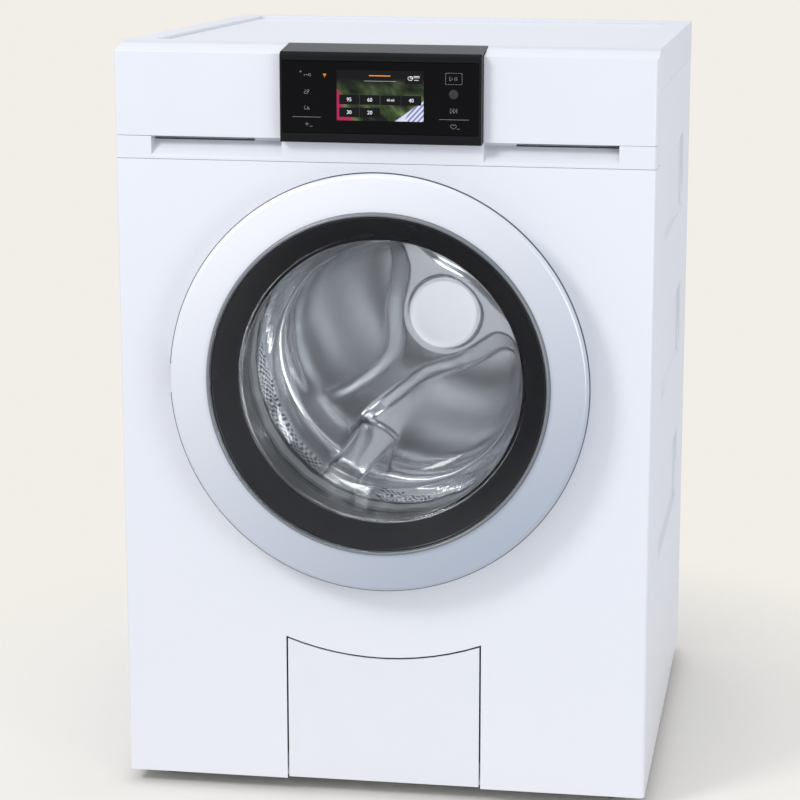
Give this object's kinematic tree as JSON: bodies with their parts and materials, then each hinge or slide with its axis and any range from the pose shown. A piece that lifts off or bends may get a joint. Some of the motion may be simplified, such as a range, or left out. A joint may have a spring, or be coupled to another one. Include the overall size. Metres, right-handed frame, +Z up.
{
  "type": "washing machine",
  "caption": "Free-standing front-loading washing machine with a round glass door, a detergent drawer, a service flap and a belt-driven drum in a sprung tub.",
  "frame": {"origin": "middle of the footprint on the floor", "axes": "+Z up, the door faces -Y, +X is to the right for someone who faces the door"},
  "size_m": [0.595, 0.639, 0.85],
  "materials": {
    "white_paint": "smooth white enamel",
    "white_plastic": "satin white",
    "black_gloss": "high gloss black",
    "screen": "colour screen",
    "circuit_board": "green solder mask",
    "silver_trim": "fine satin silver",
    "grey_trim": "satin grey",
    "clear_glass": "clear polished",
    "grey_plastic": "moulded",
    "tub_plastic": "filled polymer",
    "galvanised": "zinc coated",
    "steel": "machined",
    "stainless": "bright rolled",
    "cast_aluminium": "as cast",
    "concrete": "cast concrete",
    "grey_rubber": "matt",
    "black_rubber": "matt",
    "black_plastic": "moulded"
  },
  "bodies": {
    "cabinet": {"front_panel": "white_paint", "grip_strip": "white_plastic", "fascia_right": "white_plastic", "control_carrier": "white_plastic", "display_housing": "black_gloss", "display_glass": "black_gloss", "display_screen": "screen", "control_board": "circuit_board", "top_frame": "white_plastic", "top_plate": "white_paint", "side_panel_left": "white_paint", "side_panel_right": "white_paint", "rear_panel": "galvanised", "rear_cover": "galvanised", "base_frame": "galvanised", "dispenser_box": "white_plastic", "hinge_bracket": "steel", "door_lock": "black_plastic", "door_gasket": "grey_rubber", "suspension_spring_left": "steel", "suspension_spring_right": "steel", "spring_rail": "galvanised", "pump_housing": "grey_plastic", "sump_hose": "black_rubber", "drain_hose": "black_rubber", "dispenser_hose": "black_rubber", "inlet_valve": "white_plastic"},
    "tub": {"tub_front": "tub_plastic", "tub_rear": "tub_plastic", "front_counterweight": "concrete", "gasket_clamp": "stainless", "shaft_seal": "black_rubber", "bearing_front": "steel", "bearing_rear": "steel", "motor": "steel", "drive_belt": "black_rubber", "heater": "steel"},
    "drum": {"drum_shell": "stainless", "lifter_1": "stainless", "lifter_2": "stainless", "lifter_3": "stainless", "drum_spider": "cast_aluminium", "drum_shaft": "steel", "drum_pulley": "cast_aluminium"},
    "motor_rotor": {"motor_shaft_pulley": "steel"},
    "door": {"door_ring": "silver_trim", "door_rim": "grey_trim", "door_bezel": "black_gloss", "door_glass": "clear_glass", "door_back_ring": "grey_plastic", "door_hinge_arm": "steel"},
    "drawer": {"drawer_front": "white_plastic", "drawer_tray": "grey_plastic", "siphon_cap": "grey_plastic"},
    "flap": {"service_flap": "white_plastic"},
    "filter": {"pump_filter": "grey_plastic"},
    "foot_front_left_screw": {"foot_front_left": "black_rubber"},
    "foot_front_right_screw": {"foot_front_right": "black_rubber"},
    "foot_rear_left_screw": {"foot_rear_left": "black_rubber"},
    "foot_rear_right_screw": {"foot_rear_right": "black_rubber"}
  },
  "joints": [
    {"name": "door_swing", "type": "hinge", "parent": "cabinet", "child": "door", "pos_m": [-0.216, -0.3045, 0.4846], "axis": [0, 0, -1], "range_deg": [0, 125]},
    {"name": "drawer_slide", "type": "slide", "parent": "cabinet", "child": "drawer", "axis": [0, -1, 0], "range_m": [0, 0.2]},
    {"name": "tub_bounce", "type": "slide", "parent": "cabinet", "child": "tub", "axis": [0, 0, 1], "range_m": [-0.008, 0.008], "stiffness_N_per_m": 11000, "springref_m": 0.03982, "deforming": ["suspension_spring_left", "suspension_spring_right", "door_gasket", "sump_hose", "dispenser_hose"]},
    {"name": "drum_spin", "type": "hinge", "parent": "tub", "child": "drum", "pos_m": [0, 0, 0.4846], "axis": [0, 1, 0], "continuous": true},
    {"name": "motor_spin", "type": "hinge", "parent": "tub", "child": "motor_rotor", "pos_m": [-0.025, 0, 0.13], "axis": [0, 1, 0], "continuous": true},
    {"name": "flap_swing", "type": "hinge", "parent": "cabinet", "child": "flap", "pos_m": [0, -0.2745, 0.021], "axis": [1, 0, 0], "range_deg": [0, 90]},
    {"name": "filter_twist", "type": "hinge", "parent": "cabinet", "child": "filter", "pos_m": [0.06, -0.2345, 0.088], "axis": [0, -1, 0], "range_deg": [0, 90]},
    {"name": "foot_front_left_turn", "type": "hinge", "parent": "cabinet", "child": "foot_front_left_screw", "pos_m": [-0.255, -0.2255, 0], "axis": [0, 0, 1], "continuous": true},
    {"name": "foot_front_right_turn", "type": "hinge", "parent": "cabinet", "child": "foot_front_right_screw", "pos_m": [0.255, -0.2255, 0], "axis": [0, 0, 1], "continuous": true},
    {"name": "foot_rear_left_turn", "type": "hinge", "parent": "cabinet", "child": "foot_rear_left_screw", "pos_m": [-0.255, 0.2645, 0], "axis": [0, 0, 1], "continuous": true},
    {"name": "foot_rear_right_turn", "type": "hinge", "parent": "cabinet", "child": "foot_rear_right_screw", "pos_m": [0.255, 0.2645, 0], "axis": [0, 0, 1], "continuous": true}
  ],
  "couplings": [
    {"joint": "motor_spin", "follows": "drum_spin", "ratio": 14.5}
  ]
}
